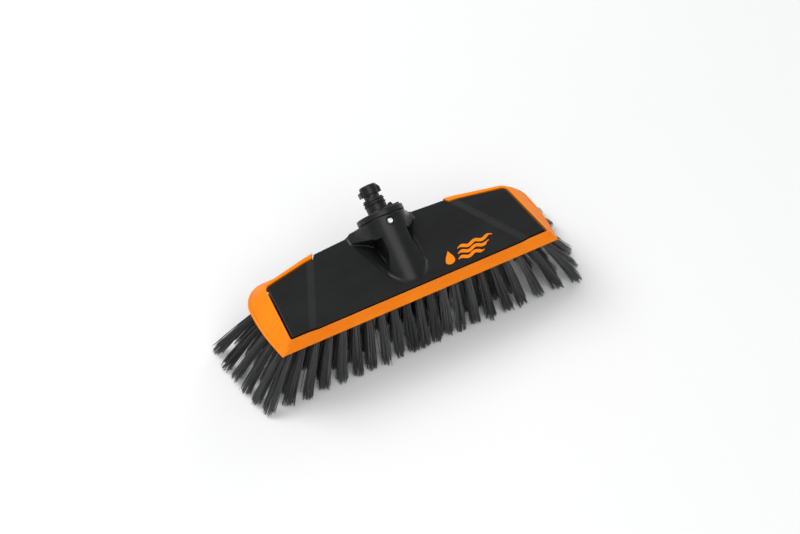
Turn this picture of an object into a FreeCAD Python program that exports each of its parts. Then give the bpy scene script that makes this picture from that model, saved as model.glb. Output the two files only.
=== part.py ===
"""Wide flow-through wash brush for a pressure-washer lance, as a parametric FreeCAD document.

Frame: millimetres, +Z up, +X along the brush, +Y towards the back. The brush stands on its
bristle tips at Z = 0, and the origin is under the middle of its bounding box.
"""
import FreeCAD, Part
import math
import os

import Sketcher
from FreeCAD import Vector

doc = FreeCAD.newDocument("wash_brush")
dims = doc.addObject("Spreadsheet::Sheet", "Dims")

SIZES = {
    # top panel of the shell, measured from its straight front edge
    "panel_level": 76.4,
    "panel_front": -42.25,
    "panel_thick": 3.0,
    "front_half": 124.1,
    "side_half": 117.6,
    "side_depth": 57.5,
    "band_half": 68.0,
    "band_depth": 68.8,
    "edge_half": 65.0,
    "edge_depth": 73.3,
    "bulge_half": 26.0,
    "bulge_depth": 76.8,
    "corner_round": 5.0,
    # raised wings at both ends of the panel
    "wing_rise": 1.75,
    "ramp_foot_front": 100.3,
    "ramp_foot_back": 66.6,
    "ramp_top_front": 108.7,
    "ramp_top_back": 75.0,
    # skirt and rear wall under the panel
    "skirt_inset": 3.0,
    "skirt_wall": 2.6,
    "skirt_drop": 3.0,
    "skirt_back": 69.4,
    "skirt_back_half": 64.0,
    "rear_wall_front": 70.6,
    "rear_wall_half": 64.0,
    "boss_radius": 3.4,
    "boss_length": 7.0,
    # neck: its seam with the coupling, its tilt above the horizontal, and its walls
    "seam_depth": 68.7,
    "seam_rise": 15.7,
    "neck_tilt": 31.5,
    "neck_radius": 21.4,
    "neck_run": 80.0,
    "collar_length": 17.0,
    "socket_radius": 14.0,
    "socket_depth": 12.9,
    "channel_radius": 8.5,
    "channel_length": 46.0,
    "ridge_half_top": 12.0,
    "ridge_half_foot": 18.0,
    "ridge_front": 2.0,
    "ridge_bend_front": 18.0,
    "ridge_bend_back": 36.0,
    "ridge_back": 66.0,
    "fairing_radius": 13.0,
    "fairing_front": 50.0,
    # bumper
    "bumper_gap": 0.25,
    "bumper_front_out": 3.0,
    "bumper_half_front": 136.5,
    "bumper_half_side": 137.6,
    "bumper_back_depth": 77.4,
    "bumper_tip_depth": 76.0,
    "bumper_drop": 15.0,
    "bumper_corner": 24.0,
    "bumper_lip": 0.9,
    "tip_cut_front": 55.0,
    "tip_cut_back": 74.8,
    # brush block and its seal
    "block_under": 62.5,
    "block_thick": 7.9,
    "block_front": 1.8,
    "block_half_front": 125.4,
    "block_half_back": 120.4,
    "block_side_back": 57.6,
    "block_back_depth": 69.6,
    "block_corner": 9.0,
    "hole_play": 0.3,
    "gasket_width": 1.6,
    "gasket_height": 1.5,
    "outlet_radius": 1.25,
    "outlet_pitch": 24.0,
    "outlets": 8,
    # bristle tufts
    "tuft_rows": 6,
    "front_row_tufts": 21,
    "tuft_pitch": 12.0,
    "row_taper": 0.03,
    "first_row_depth": 6.0,
    "back_margin": 4.6,
    "hole_radius": 2.6,
    "hole_depth": 6.0,
    "root_radius": 2.5,
    "tip_radius": 5.2,
    "end_splay": 34.5,
    "splay_gain": 9.0,
    "splay_forward": 3.0,
    "splay_power": 2.2,
    "tip_row_front": -9.5,
    "tip_row_back": 73.0,
    "anchor_width": 4.8,
    "anchor_height": 1.8,
    "anchor_thick": 0.5,
    # coupling
    "flange_radius": 21.7,
    "flange_rim": 5.5,
    "flange_top": 6.0,
    "spigot_radius": 13.7,
    "spigot_length": 12.0,
    "nipple_radius": 9.3,
    "nipple_length": 31.4,
    "neck_groove_radius": 6.9,
    "pilot_radius": 7.9,
    "pilot_start": 23.0,
    "pilot_step": 0.3,
    "bore_radius": 4.5,
    "lug_start": 22.6,
    "lug_height": 4.8,
    "lug_half_width": 3.4,
    "left_lug_reach": 9.8,
    "right_lug_reach": 9.3,
    "stop_inner": 9.0,
    "stop_outer": 19.5,
    "stop_inner_half": 3.0,
    "stop_outer_half": 5.0,
    "stop_rise": 2.1,
    "nub_inner": 11.0,
    "nub_outer": 14.2,
    "nub_half_width": 1.6,
    "nub_rise": 5.0,
    "stop_root": 0.5,
    "seal_section": 1.0,
    "seal_play": 0.1,
    "front_seal_at": 15.4,
    "rear_seal_at": -9.5,
    # fasteners
    "screw_at": -6.4,
    "screw_shank": 1.45,
    "screw_head": 2.75,
    "screw_head_tall": 1.9,
    "screw_recess": 3.65,
    "screw_recess_deep": 2.2,
    "screw_reach": 11.0,
    "block_screw_shank": 1.5,
    "block_screw_head": 2.9,
    "block_screw_head_tall": 1.9,
    "block_screw_reach": 8.5,
}
for row, (name, value) in enumerate(SIZES.items(), start=1):
    dims.set(f"A{row}", name)
    dims.set(f"B{row}", str(value))
    dims.setAlias(f"B{row}", name)
doc.recompute()


def size(name):
    """A driving dimension, read from the sheet."""
    return float(dims.get(name))


def number(expression):
    return float(dims.evalExpression(expression))


NODES = []  # the objects whose shapes are the separate pieces
PANEL = "Dims.panel_level"
FRONT = "Dims.panel_front"


def node(obj, label):
    obj.Label = label
    NODES.append(obj)
    return obj


def axis_place(distance, across="0", turn="0"):
    """Expression for a placement whose Z runs up the neck's axis, at a distance from the seam."""
    run = f"({distance}) * cos(Dims.neck_tilt)"
    rise = f"({distance}) * sin(Dims.neck_tilt)"
    base = (f"vector({across}; {FRONT} + Dims.seam_depth + {run}; "
            f"{PANEL} + Dims.seam_rise + {rise})")
    tilt = "rotation(vector(1; 0; 0); Dims.neck_tilt - 90)"
    spin = f"rotation(vector(0; 0; 1); {turn})"
    return f"placement({base}; {tilt} * {spin})"


def neck_point(distance, up=0.0):
    """A point in the middle plane: along the neck's axis from the seam, and square up from it."""
    tilt = math.radians(size("neck_tilt"))
    y = size("panel_front") + size("seam_depth") + distance * math.cos(tilt) - up * math.sin(tilt)
    z = size("panel_level") + size("seam_rise") + distance * math.sin(tilt) + up * math.cos(tilt)
    return Vector(0, y, z)


def sketch_in(body, name, plane="XY_Plane", lift="0"):
    """An empty sketch on one of the body's origin planes, lifted along the plane's normal."""
    planes = {origin.Role: origin for origin in body.Origin.OriginFeatures}
    sketch = body.newObject("Sketcher::SketchObject", name)
    sketch.AttachmentSupport = [(planes[plane], "")]
    sketch.MapMode = "FlatFace"
    offset = f"placement(vector(0; 0; {lift}); rotation(vector(0; 0; 1); 0))"
    sketch.setExpression("AttachmentOffset", offset)
    return sketch


def pin_down(sketch, geometry, point, x, y, tag):
    """Ties one sketch point to two expressions over the sheet."""
    for kind, axis, expression in (("DistanceX", "x", x), ("DistanceY", "y", y)):
        value = number(expression)
        index = sketch.addConstraint(Sketcher.Constraint(kind, -1, 1, geometry, point, value))
        sketch.renameConstraint(index, f"{axis}{tag}")
        sketch.setExpression(f"Constraints.{axis}{tag}", expression)


def polygon(sketch, corners):
    """A closed outline of straight lines through corners given as pairs of expressions."""
    first = len(sketch.Geometry)
    places = [Vector(number(x), number(y), 0) for x, y in corners]
    for index, start in enumerate(places):
        end = places[(index + 1) % len(places)]
        sketch.addGeometry(Part.LineSegment(start, end), False)
    for index in range(len(places)):
        following = first + (index + 1) % len(places)
        sketch.addConstraint(Sketcher.Constraint("Coincident", first + index, 2, following, 1))
    for index, (x, y) in enumerate(corners):
        pin_down(sketch, first + index, 1, x, y, f"{first + index}")


def circle(sketch, x, y, radius):
    index = len(sketch.Geometry)
    centre = Vector(number(x), number(y), 0)
    sketch.addGeometry(Part.Circle(centre, Vector(0, 0, 1), number(radius)), False)
    pin_down(sketch, index, 3, x, y, f"{index}")
    constraint = sketch.addConstraint(Sketcher.Constraint("Radius", index, number(radius)))
    sketch.renameConstraint(constraint, f"radius{index}")
    sketch.setExpression(f"Constraints.radius{index}", radius)


def pad(body, sketch, length, name):
    feature = body.newObject("PartDesign::Pad", name)
    feature.Profile = sketch
    feature.setExpression("Length", length)
    sketch.Visibility = False
    doc.recompute()
    return feature


def round_uprights(body, base, places, radius, name):
    """Fillets the upright edges that stand at the given plan positions."""
    found = []
    for index, edge in enumerate(base.Shape.Edges, start=1):
        ends = [vertex.Point for vertex in edge.Vertexes]
        upright = len(ends) == 2 and (ends[0] - ends[1]).cross(Vector(0, 0, 1)).Length < 1e-6
        near = any(math.hypot(ends[0].x - x, ends[0].y - y) < 0.05 for x, y in places)
        if upright and near:
            found.append(f"Edge{index}")
    fillet = body.newObject("PartDesign::Fillet", name)
    fillet.Base = (base, found)
    fillet.setExpression("Radius", radius)
    doc.recompute()
    return fillet


def both_sides(right_half):
    """A closed outline from its right half, front to back, mirrored in the plane X = 0."""
    left_half = [(f"-({x})", y) for x, y in reversed(right_half)]
    return right_half + left_half


def rounded_outline(corners, level):
    """A closed wire through (x, y, radius) corners, each rounded by a tangent arc."""
    edges = []
    ends = []
    count = len(corners)
    for index, (x, y, radius) in enumerate(corners):
        here = Vector(x, y, level)
        before = Vector(*corners[index - 1][:2], level) - here
        after = Vector(*corners[(index + 1) % count][:2], level) - here
        before.normalize()
        after.normalize()
        half_angle = before.getAngle(after) / 2
        cut = radius / math.tan(half_angle)
        middle = (before + after).normalize()
        bow = here + middle * (radius / math.sin(half_angle) - radius)
        ends.append((here + before * cut, bow, here + after * cut))
    for index, (start, bow, end) in enumerate(ends):
        edges.append(Part.Arc(start, bow, end).toShape())
        edges.append(Part.LineSegment(end, ends[(index + 1) % count][0]).toShape())
    return Part.Wire(edges)


def mirrored(right_half):
    """The numeric form of both_sides, for (x, y, radius) corners."""
    return right_half + [(-x, y, radius) for x, y, radius in reversed(right_half)]


def prism(wire, height):
    return Part.Face(wire).extrude(Vector(0, 0, height))


def feature(name, shape):
    """A Part::Feature that holds a shape worked out from the sheet."""
    obj = doc.addObject("Part::Feature", name)
    obj.Shape = shape
    return obj


def boolean(kind, name, first, second):
    """A Part::Cut, Part::Common or Part::Fuse of two objects."""
    obj = doc.addObject(f"Part::{kind}", name)
    obj.Base = first
    obj.Tool = second
    doc.recompute()
    return obj


def fuse_all(name, objects):
    obj = doc.addObject("Part::MultiFuse", name)
    obj.Shapes = objects
    doc.recompute()
    return obj


def neck_cylinder(name, radius, start, length):
    """A cylinder on the neck's axis, from a distance along it."""
    obj = doc.addObject("Part::Cylinder", name)
    obj.setExpression("Radius", radius)
    obj.setExpression("Height", length)
    obj.setExpression("Placement", axis_place(start))
    return obj


# ---------------------------------------------------------------- places of the tufts and screws
PANEL_LEVEL = size("panel_level")
PANEL_FRONT = size("panel_front")
BLOCK_UNDER = size("block_under")
BLOCK_TOP = BLOCK_UNDER + size("block_thick")
SCREW_ROWS = {1: (30.0, 90.0), 4: (24.0, 84.0)}  # tuft row: how far out its block screws stand


def block_back(x):
    """Depth of the block's back edge behind the panel's front edge."""
    out = max(0.0, abs(x) - size("band_half"))
    slope = (size("block_back_depth") - size("block_side_back")) / (
        size("block_half_back") - size("band_half"))
    return size("block_back_depth") - out * slope


def row_places(row):
    """Plan positions (x, y) of one row's holes, in the object's frame, screws included."""
    count = int(size("front_row_tufts")) - row % 2
    share = row / (size("tuft_rows") - 1)
    places = []
    for index in range(count):
        x = (index - (count - 1) / 2) * size("tuft_pitch") * (1 - size("row_taper") * share)
        span = block_back(x) - size("back_margin") - size("first_row_depth")
        places.append((x, PANEL_FRONT + size("first_row_depth") + span * share))
    return places


def screw_places():
    """The hole positions that hold block screws in place of tufts."""
    found = []
    for row, reaches in SCREW_ROWS.items():
        for x, y in row_places(row):
            if any(abs(abs(x) - reach) < size("tuft_pitch") * 0.45 for reach in reaches):
                found.append((x, y))
    return found


SCREWS = screw_places()


def tuft_places(row):
    return [place for place in row_places(row) if place not in SCREWS]


def tip_place(x, row):
    """Where a tuft's tip meets the ground: rows lean apart, and the ends splay outwards.

    The rows behind the front one splay further than it does, and a little towards the front.
    """
    share = row / (size("tuft_rows") - 1)
    root_half = row_places(row)[-1][0]
    reach = abs(x) / root_half
    tip_half = size("tuft_pitch") * (size("front_row_tufts") - 1) / 2 - row % 2
    bend = reach ** size("splay_power")
    gain = 1 - (1 - share) ** 4
    out = tip_half * reach + (size("end_splay") + size("splay_gain") * gain) * bend
    depth = size("tip_row_front") + (size("tip_row_back") - size("tip_row_front")) * share
    depth -= size("splay_forward") * gain * bend
    return math.copysign(out, x), PANEL_FRONT + depth


# ---------------------------------------------------------------- upper shell
def panel_corners(grow=0.0):
    """Numeric outline of the top panel, for the pieces that fit round it."""
    corners = [
        (size("front_half"), 0.0, 0.4),
        (size("side_half"), size("side_depth"), size("corner_round")),
        (size("band_half"), size("band_depth"), 0.4),
        (size("edge_half"), size("edge_depth"), 0.4),
        (size("bulge_half"), size("bulge_depth"), 4.0),
    ]
    wire = rounded_outline([(x, PANEL_FRONT + y, r) for x, y, r in mirrored(corners)], 0)
    return wire.makeOffset2D(grow) if grow else wire


def make_panel():
    body = doc.addObject("PartDesign::Body", "shell_panel")
    top = sketch_in(body, "panel_outline", lift=f"{PANEL} - Dims.panel_thick")
    polygon(top, both_sides([
        ("Dims.front_half", FRONT),
        ("Dims.side_half", f"{FRONT} + Dims.side_depth"),
        ("Dims.band_half", f"{FRONT} + Dims.band_depth"),
        ("Dims.edge_half", f"{FRONT} + Dims.edge_depth"),
        ("Dims.bulge_half", f"{FRONT} + Dims.bulge_depth"),
    ]))
    plate = pad(body, top, "Dims.panel_thick", "panel_pad")
    corners = [(side * size("side_half"), PANEL_FRONT + size("side_depth")) for side in (-1, 1)]
    round_uprights(body, plate, corners, "Dims.corner_round", "panel_corners")

    skirt = sketch_in(body, "skirt_outline", lift=f"{PANEL} - Dims.panel_thick - Dims.skirt_drop")
    for inset in ("Dims.skirt_inset", "Dims.skirt_inset + Dims.skirt_wall"):
        polygon(skirt, both_sides([
            (f"Dims.front_half - {inset}", f"{FRONT} + {inset}"),
            (f"Dims.side_half - {inset}", f"{FRONT} + Dims.side_depth - {inset}"),
            ("Dims.skirt_back_half", f"{FRONT} + Dims.skirt_back - {inset}"),
        ]))
    pad(body, skirt, "Dims.skirt_drop", "skirt_pad")

    wall = sketch_in(body, "rear_wall_outline", lift="Dims.block_under")
    polygon(wall, both_sides([
        ("Dims.rear_wall_half", f"{FRONT} + Dims.rear_wall_front"),
        ("Dims.rear_wall_half", f"{FRONT} + Dims.edge_depth"),
        ("Dims.bulge_half", f"{FRONT} + Dims.bulge_depth - 0.2"),
    ]))
    pad(body, wall, f"{PANEL} - Dims.panel_thick - Dims.block_under", "rear_wall_pad")

    bosses = sketch_in(body, "boss_circles", lift=f"{PANEL} - Dims.panel_thick - Dims.boss_length")
    for x, y in SCREWS:
        circle(bosses, str(x), str(y), "Dims.boss_radius")
    pad(body, bosses, "Dims.boss_length", "boss_pad")
    return body


def make_wing(side):
    """A raised end of the panel: its ramp rises from the foot line to the top line."""
    rise = size("wing_rise")

    def outline(front, back, level):
        slope = (size("band_depth") - size("side_depth")) / (size("side_half") - size("band_half"))
        back_depth = size("side_depth") + (size("side_half") - back) * slope
        corners = [
            (front, 0.0, 0.3),
            (size("front_half"), 0.0, 0.3),
            (size("side_half"), size("side_depth"), size("corner_round")),
            (back, back_depth, 0.3),
        ]
        placed = [(side * x, PANEL_FRONT + y, r) for x, y, r in corners]
        return rounded_outline(placed, PANEL_LEVEL + level)

    foot = outline(size("ramp_foot_front"), size("ramp_foot_back") + 2.0, -0.5)
    top = outline(size("ramp_top_front"), size("ramp_top_back"), rise)
    name = "wing_right" if side > 0 else "wing_left"
    return feature(name, Part.makeLoft([foot, top], True, True))


def make_neck():
    """The collar under the coupling and the ridge that runs down from it over the panel."""
    tube = neck_cylinder("neck_tube", "Dims.neck_radius", "-Dims.neck_run", "Dims.neck_run")
    body = doc.addObject("PartDesign::Body", "ridge_plan")
    plan = sketch_in(body, "ridge_outline", lift=f"{PANEL} - Dims.panel_thick")
    polygon(plan, both_sides([
        ("Dims.ridge_half_foot", f"{FRONT} + Dims.ridge_front"),
        ("Dims.ridge_half_foot", f"{FRONT} + Dims.ridge_bend_front"),
        ("Dims.ridge_half_top", f"{FRONT} + Dims.ridge_bend_back"),
        ("Dims.ridge_half_top", f"{FRONT} + Dims.ridge_back"),
    ]))
    pad(body, plan, "Dims.neck_run", "ridge_pad")
    ridge = boolean("Common", "neck_ridge", tube, body)

    radius = size("fairing_radius")
    side = size("neck_radius")
    under = PANEL_LEVEL - size("panel_thick")
    start = PANEL_FRONT + size("fairing_front")
    bend = radius * (1 - math.sqrt(0.5))
    points = {
        "foot": Vector(side + radius, start, PANEL_LEVEL),
        "bow": Vector(side + bend, start, PANEL_LEVEL + bend),
        "top": Vector(side, start, PANEL_LEVEL + radius),
    }
    left = {key: Vector(-p.x, p.y, p.z) for key, p in points.items()}
    outline = Part.Wire([
        Part.Arc(points["foot"], points["bow"], points["top"]).toShape(),
        Part.LineSegment(points["top"], left["top"]).toShape(),
        Part.Arc(left["top"], left["bow"], left["foot"]).toShape(),
        Part.LineSegment(left["foot"], Vector(-side - radius, start, under)).toShape(),
        Part.LineSegment(Vector(-side - radius, start, under),
                         Vector(side + radius, start, under)).toShape(),
        Part.LineSegment(Vector(side + radius, start, under), points["foot"]).toShape(),
    ])
    depth = size("bulge_depth") + PANEL_FRONT - start
    fairing = feature("fairing", Part.Face(outline).extrude(Vector(0, depth, 0)))

    whole = fuse_all("collar_whole", [tube, fairing])
    length = "Dims.collar_length"
    slab = neck_cylinder("collar_slab", "Dims.neck_run", f"-{length}", length)
    collar = boolean("Common", "collar_cut", whole, slab)
    reach = size("neck_run")
    above = Part.makeBox(2 * reach, 2 * reach, reach, Vector(-reach, -reach, under))
    return ridge, boolean("Common", "neck_collar", collar, feature("above_panel", above))


def make_upper_shell():
    panel = make_panel()
    ridge, collar = make_neck()
    solid = fuse_all("shell_solid", [panel, make_wing(1), make_wing(-1), ridge, collar])
    cavities = [
        neck_cylinder("socket_bore", "Dims.socket_radius", "-Dims.socket_depth",
                      "Dims.socket_depth + 1"),
        neck_cylinder("water_channel", "Dims.channel_radius", "-Dims.channel_length",
                      "Dims.channel_length"),
    ]
    tilt = math.radians(size("neck_tilt"))
    up = Vector(0, -math.sin(tilt), math.cos(tilt))
    foot = neck_point(size("screw_at"))
    shank = Part.makeCylinder(size("screw_shank"), size("neck_radius") + 2, foot, up)
    rim = neck_point(size("screw_at"), size("neck_radius") - size("screw_recess_deep"))
    recess = Part.makeCylinder(size("screw_recess"), 6, rim, up)
    cavities.append(feature("screw_recess_cut", shank.fuse(recess)))
    for index, (x, y) in enumerate(SCREWS):
        pilot = doc.addObject("Part::Cylinder", f"boss_pilot_{index}")
        pilot.setExpression("Radius", "Dims.block_screw_shank")
        pilot.setExpression("Height", "Dims.boss_length + 1")
        base = f"vector({x}; {y}; {PANEL} - Dims.panel_thick - Dims.boss_length)"
        pilot.setExpression("Placement", f"placement({base}; rotation(vector(0; 0; 1); 0))")
        cavities.append(pilot)
    tools = fuse_all("shell_cavities", cavities)
    return node(boolean("Cut", "shell_cut", solid, tools), "upper_shell")


# ---------------------------------------------------------------- bumper
def make_bumper():
    """The soft edge guard: a sloping ring that is open at the middle of the back."""
    lip = size("bumper_lip")
    top = mirrored([
        (size("front_half") + lip, -lip, 1.0),
        (size("side_half") + lip + 1.5, size("side_depth") + 3.0, 9.0),
        (size("band_half"), size("edge_depth") + 1.6, 2.0),
    ])
    foot = mirrored([
        (size("bumper_half_front"), -size("bumper_front_out"), 2.0),
        (size("bumper_half_side"), size("bumper_back_depth") - 1.0, size("bumper_corner")),
        (size("band_half"), size("bumper_tip_depth") + 0.6, 2.0),
    ])
    levels = (PANEL_LEVEL, PANEL_LEVEL - size("bumper_drop"))
    wires = []
    for corners, level in zip((top, foot), levels):
        wires.append(rounded_outline([(x, PANEL_FRONT + y, r) for x, y, r in corners], level))
    ring = Part.makeLoft(wires, True, True)

    gap = size("bumper_gap")
    plate = panel_corners(gap)
    plate.translate(Vector(0, 0, PANEL_LEVEL - size("panel_thick") - 0.02))
    core = prism(plate, size("bumper_drop"))
    inset = size("skirt_inset") - gap
    skirt = mirrored([
        (size("front_half") - inset, inset, 0.3),
        (size("side_half") - inset, size("side_depth") - inset, 0.3),
        (size("skirt_back_half"), size("skirt_back") - inset, 0.3),
    ])
    skirt_wire = rounded_outline([(x, PANEL_FRONT + y, r) for x, y, r in skirt], BLOCK_TOP - 0.1)
    core = core.fuse(prism(skirt_wire, PANEL_LEVEL - size("panel_thick") - BLOCK_TOP + 0.2))
    deep = size("block_thick")
    block = rounded_outline(block_corners(gap), BLOCK_UNDER - deep)
    core = core.fuse(prism(block, 2 * deep + gap))

    half, back = size("band_half"), size("band_depth")
    wedge = mirrored([
        (half, size("tip_cut_front"), 0.3),
        (half, back, 0.3),
        (size("edge_half") + gap, size("tip_cut_back"), 0.3),
        (size("edge_half") + gap, size("tip_cut_back") + size("bumper_drop"), 0.3),
    ])
    under = PANEL_LEVEL - 2 * size("bumper_drop")
    opening = prism(rounded_outline([(x, PANEL_FRONT + y, r) for x, y, r in wedge], under),
                    3 * size("bumper_drop"))
    return node(feature("bumper", ring.cut(core.fuse(opening))), "bumper")


# ---------------------------------------------------------------- brush block
def block_corners(grow=0.0):
    """Numeric outline of the block as (x, y, radius) corners."""
    return [(x, PANEL_FRONT + y, r) for x, y, r in mirrored([
        (size("block_half_front") + grow, size("block_front") - grow, 2.0),
        (size("block_half_back") + grow, size("block_side_back") + grow, size("block_corner")),
        (size("band_half"), size("block_back_depth") + grow, 1.0),
    ])]


def make_block():
    body = doc.addObject("PartDesign::Body", "block_plate")
    plan = sketch_in(body, "block_outline", lift="Dims.block_under")
    polygon(plan, both_sides([
        ("Dims.block_half_front", f"{FRONT} + Dims.block_front"),
        ("Dims.block_half_back", f"{FRONT} + Dims.block_side_back"),
        ("Dims.band_half", f"{FRONT} + Dims.block_back_depth"),
    ]))
    plate = pad(body, plan, "Dims.block_thick", "block_pad")
    back = PANEL_FRONT + size("block_side_back")
    corners = [(side * size("block_half_back"), back) for side in (-1, 1)]
    round_uprights(body, plate, corners, "Dims.block_corner", "block_corners")

    cuts = []
    for row in range(int(size("tuft_rows"))):
        for x, y in tuft_places(row):
            start = Vector(x, y, BLOCK_UNDER - 0.5)
            cuts.append(Part.makeCylinder(size("hole_radius"), size("hole_depth") + 0.5, start))
    boss_end = PANEL_LEVEL - size("panel_thick") - size("boss_length")
    play = size("hole_play")
    through = size("block_thick") + 2.0
    for x, y in SCREWS:
        below = Vector(x, y, BLOCK_UNDER - 1.0)
        cuts.append(Part.makeCylinder(size("block_screw_shank") + play, through, below))
        seat_deep = size("block_screw_head_tall") + 1.0
        cuts.append(Part.makeCylinder(size("block_screw_head") + play, seat_deep, below))
        above = Vector(x, y, boss_end - play / 2)
        cuts.append(Part.makeCylinder(size("boss_radius") + play / 2, through, above))
    step = (block_back(0) - size("back_margin") - size("first_row_depth")) / (size("tuft_rows") - 1)
    outlets = int(size("outlets"))
    for rows_forward in (1.5, 3.5):
        y = PANEL_FRONT + size("first_row_depth") + step * rows_forward
        for index in range(outlets):
            x = (index - (outlets - 1) / 2) * size("outlet_pitch")
            below = Vector(x, y, BLOCK_UNDER - 1.0)
            cuts.append(Part.makeCylinder(size("outlet_radius"), through, below))
    holes = feature("block_holes", Part.makeCompound(cuts))
    drilled = boolean("Cut", "block_drilled", body, holes)
    groove = feature("gasket_groove", gasket_ring(size("gasket_height") + 1.0))
    return node(boolean("Cut", "block_cut", drilled, groove), "brush_block")


def gasket_ring(height):
    """The seal's closed ring: it runs round the water chamber, under the shell's skirt."""
    middle = size("skirt_inset") + size("skirt_wall") / 2
    wires = []
    for side in (-1, 1):
        inset = middle + side * size("gasket_width") / 2
        corners = mirrored([
            (size("front_half") - inset, inset, 2.0),
            (size("side_half") - inset, size("side_depth") - inset, 4.0),
            (size("skirt_back_half"), size("skirt_back") - inset, 3.0),
        ])
        placed = [(x, PANEL_FRONT + y, r) for x, y, r in corners]
        wires.append(rounded_outline(placed, BLOCK_TOP - size("gasket_height")))
    return prism(wires[0], height).cut(prism(wires[1], height))


def make_gasket():
    return node(feature("block_gasket", gasket_ring(size("gasket_height"))), "block_gasket")


# ---------------------------------------------------------------- tufts and their anchors
ROW_NAMES = ("front_row", "second_row", "third_row", "fourth_row", "fifth_row", "rear_row")


def anchor_plate(x, y, grow=0.0):
    """The flat metal anchor that the folded bristles hang over, near the hole's bottom."""
    long, tall, thick = size("anchor_width"), size("anchor_height"), size("anchor_thick")
    top = BLOCK_UNDER + size("hole_depth") - 0.9
    corner = Vector(x - long / 2 - grow, y - thick / 2 - grow, top - tall - grow)
    return Part.makeBox(long + 2 * grow, thick + 2 * grow, tall + 2 * grow, corner)


def tuft_shape(x, y, row):
    """A bundle of filaments: a root in its hole, and a body that widens to the ground."""
    root_top = BLOCK_UNDER + size("hole_depth") - 0.1
    root = Part.makeCylinder(size("root_radius"), root_top - BLOCK_UNDER, Vector(x, y, BLOCK_UNDER))
    tip_x, tip_y = tip_place(x, row)
    start = Part.Circle(Vector(x, y, BLOCK_UNDER), Vector(0, 0, 1), size("root_radius"))
    end = Part.Circle(Vector(tip_x, tip_y, 0), Vector(0, 0, 1), size("tip_radius"))
    wires = [Part.Wire([ring.toShape()]) for ring in (start, end)]
    spread = Part.makeLoft(wires, True, True)
    return root.fuse(spread).cut(anchor_plate(x, y, 0.02))


def make_tufts():
    for row, row_name in enumerate(ROW_NAMES):
        places = tuft_places(row)
        tufts = [tuft_shape(x, y, row) for x, y in places]
        anchors = [anchor_plate(x, y) for x, y in places]
        node(feature(f"tufts_{row_name}", Part.makeCompound(tufts)), f"tufts_{row_name}")
        node(feature(f"anchors_{row_name}", Part.makeCompound(anchors)), f"anchors_{row_name}")


# ---------------------------------------------------------------- coupling
def revolve_in(body, corners, name):
    """Revolves a profile of (radius, height) expressions about the body's own Z axis."""
    sketch = sketch_in(body, f"{name}_profile", plane="XZ_Plane")
    polygon(sketch, corners)
    turned = body.newObject("PartDesign::Revolution", name)
    turned.Profile = sketch
    turned.ReferenceAxis = (sketch, ["V_Axis"])
    turned.Angle = 360
    sketch.Visibility = False
    doc.recompute()
    return turned


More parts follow.
